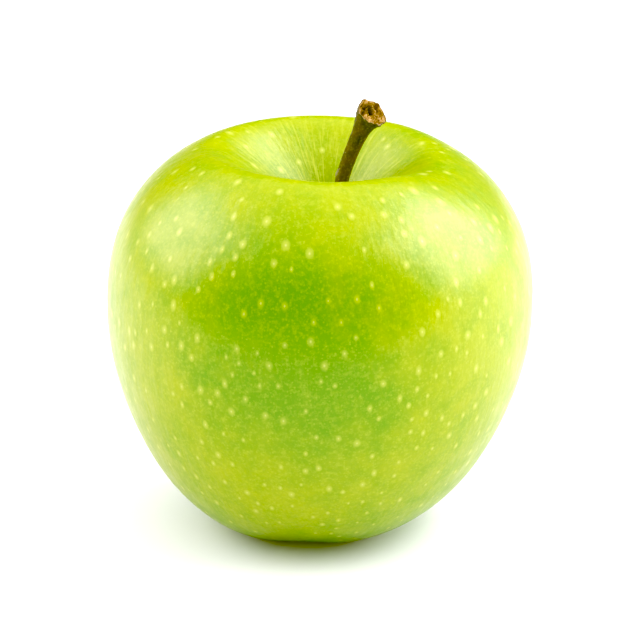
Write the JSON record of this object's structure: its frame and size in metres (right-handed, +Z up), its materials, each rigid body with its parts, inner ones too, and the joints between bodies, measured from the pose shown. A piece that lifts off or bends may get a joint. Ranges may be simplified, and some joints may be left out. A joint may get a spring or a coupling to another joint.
{
  "type": "green apple",
  "caption": "Whole green apple with a deep stem hollow, a bent woody stem and the dried flower in the eye under it.",
  "frame": {"origin": "on the table under the middle of the fruit", "axes": "+Z up through the stem end, -Z out of the feet it stands on, +X to the side that the stem leans to, -Y to the front"},
  "size_m": [0.0794, 0.0794, 0.082],
  "materials": {
    "skin": "smooth waxy fruit skin, yellow-green with pale lenticels",
    "bark": "dark rough bark with a torn brown end",
    "dried_sepal": "dry downy leaf tissue",
    "dried_stamen": "dry brown threads"
  },
  "bodies": {
    "root": {"fruit": "skin", "stem": "bark", "sepal_1": "dried_sepal", "sepal_2": "dried_sepal", "sepal_3": "dried_sepal", "sepal_4": "dried_sepal", "sepal_5": "dried_sepal", "stamen_tuft": "dried_stamen"}
  },
  "joints": []
}
